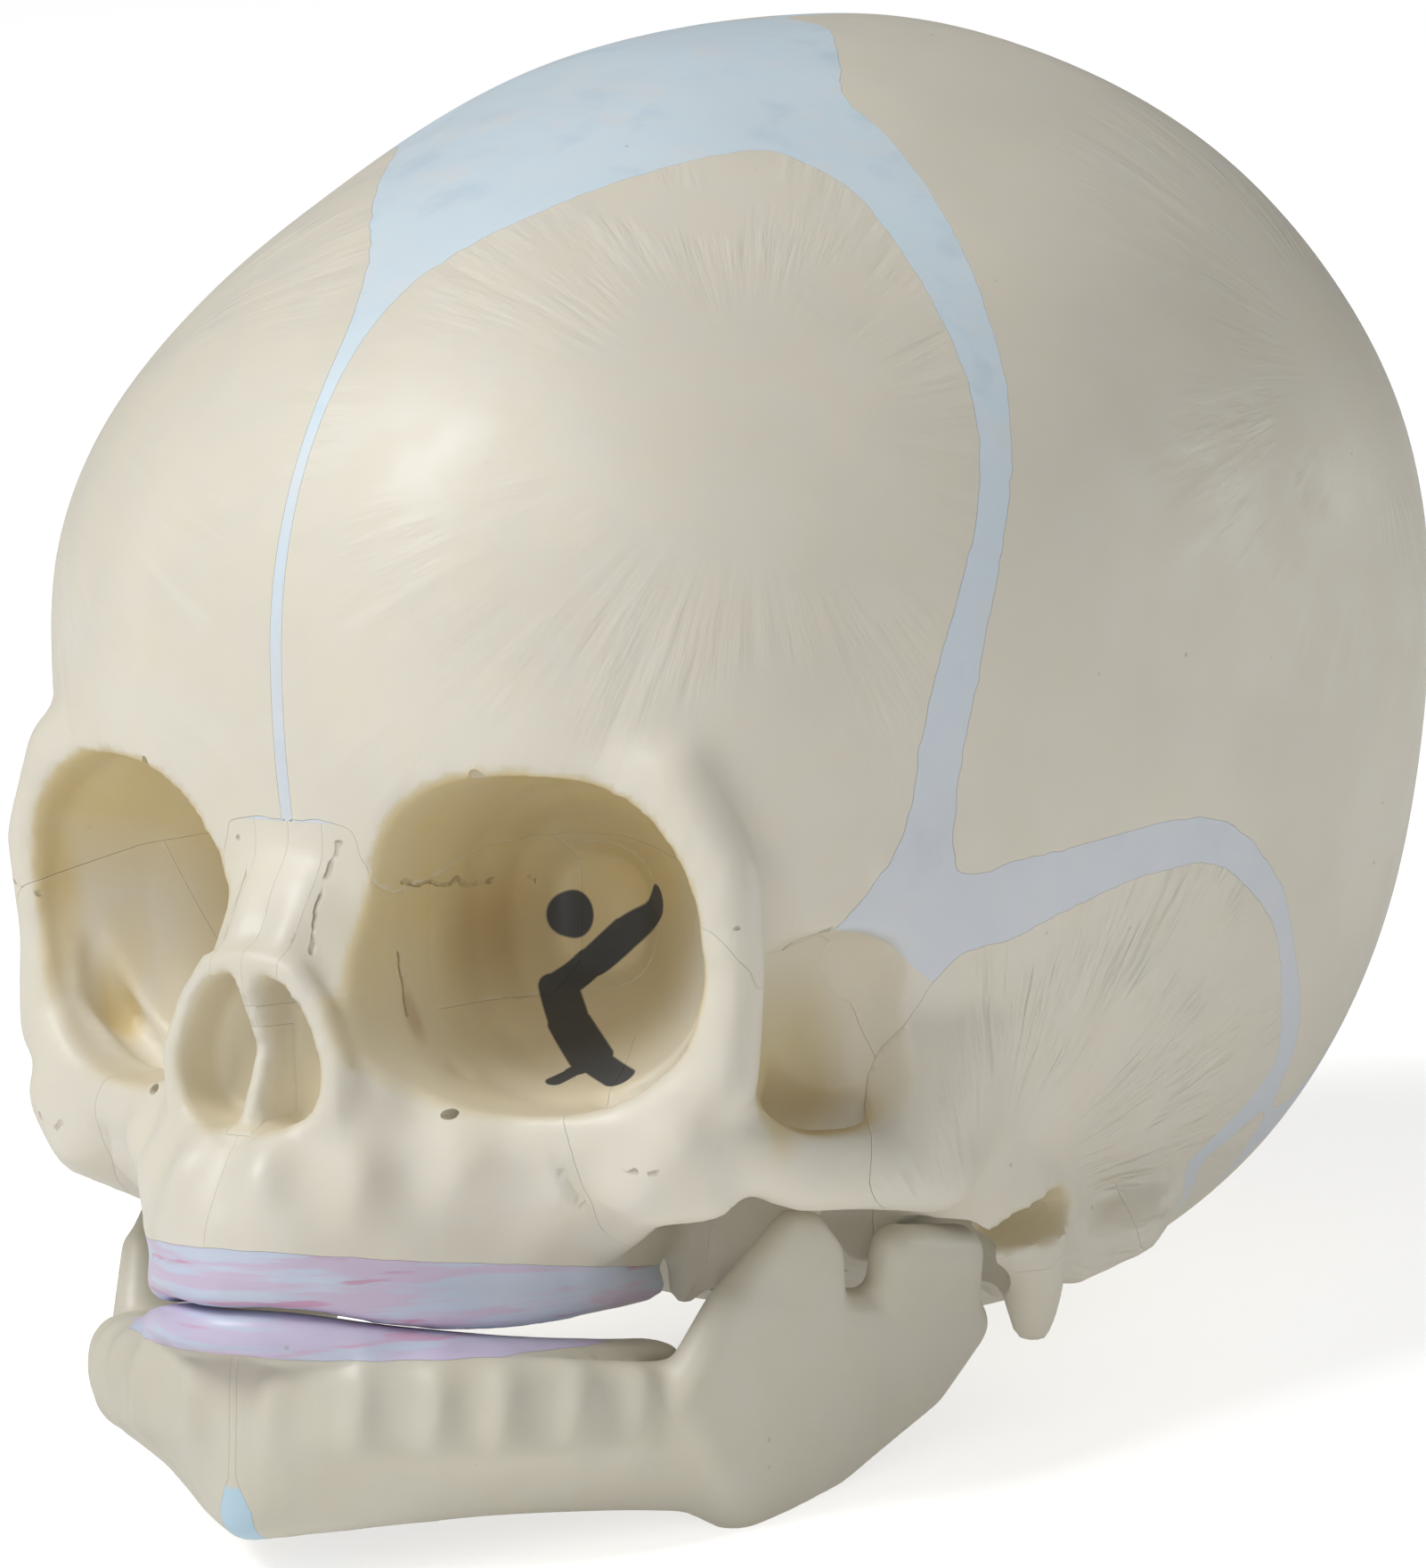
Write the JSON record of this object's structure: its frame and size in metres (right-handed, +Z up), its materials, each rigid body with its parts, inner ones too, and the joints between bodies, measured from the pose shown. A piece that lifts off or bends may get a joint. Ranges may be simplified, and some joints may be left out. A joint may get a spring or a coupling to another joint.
{
  "type": "anatomical skull model",
  "caption": "Newborn human skull teaching cast: separate bones with blue fontanelle and suture membranes, gum ridges, and a lower jaw hinged on two small pins.",
  "frame": {"origin": "centre of the bounding box, on the table that the back of the head and the corners of the jaw rest on", "axes": "+Z up, -Y towards the face, +X towards the skull's own left, which is the mirror axis of the two halves"},
  "size_m": [0.089, 0.1208, 0.0989],
  "materials": {
    "ivory_bone": "satin ivory resin cast",
    "blue_membrane": "pale blue paint on resin",
    "painted_gum": "lilac and pale blue paint on resin",
    "steel_pin": "plain steel wire"
  },
  "bodies": {
    "cranium": {"frontal_bone_left": "ivory_bone", "frontal_bone_right": "ivory_bone", "parietal_bone_left": "ivory_bone", "parietal_bone_right": "ivory_bone", "temporal_squama_left": "ivory_bone", "temporal_squama_right": "ivory_bone", "petrous_bone_left": "ivory_bone", "petrous_bone_right": "ivory_bone", "occipital_bone": "ivory_bone", "zygomatic_bone_left": "ivory_bone", "zygomatic_bone_right": "ivory_bone", "nasal_bone_left": "ivory_bone", "nasal_bone_right": "ivory_bone", "ethmoid_bone": "ivory_bone", "vomer": "ivory_bone", "maxilla_left": "ivory_bone", "maxilla_right": "ivory_bone", "sphenoid_bone": "ivory_bone", "metopic_suture": "blue_membrane", "anterior_fontanelle": "blue_membrane", "posterior_fontanelle": "blue_membrane", "sagittal_suture": "blue_membrane", "coronal_suture_left": "blue_membrane", "coronal_suture_right": "blue_membrane", "sphenoid_fontanelle_left": "blue_membrane", "sphenoid_fontanelle_right": "blue_membrane", "mastoid_fontanelle_left": "blue_membrane", "mastoid_fontanelle_right": "blue_membrane", "squamosal_suture_left": "blue_membrane", "squamosal_suture_right": "blue_membrane", "lambdoid_suture_left": "blue_membrane", "lambdoid_suture_right": "blue_membrane", "upper_gum_ridge": "painted_gum", "jaw_pin_left": "steel_pin", "jaw_pin_right": "steel_pin"},
    "jaw": {"mandible_left": "ivory_bone", "mandible_right": "ivory_bone", "chin_symphysis": "blue_membrane", "lower_gum_ridge": "painted_gum"}
  },
  "joints": [
    {"name": "jaw_hinge", "type": "hinge", "parent": "cranium", "child": "jaw", "pos_m": [0, -0.01544, 0.01529], "axis": [1, 0, 0], "range_deg": [0, 25]}
  ]
}
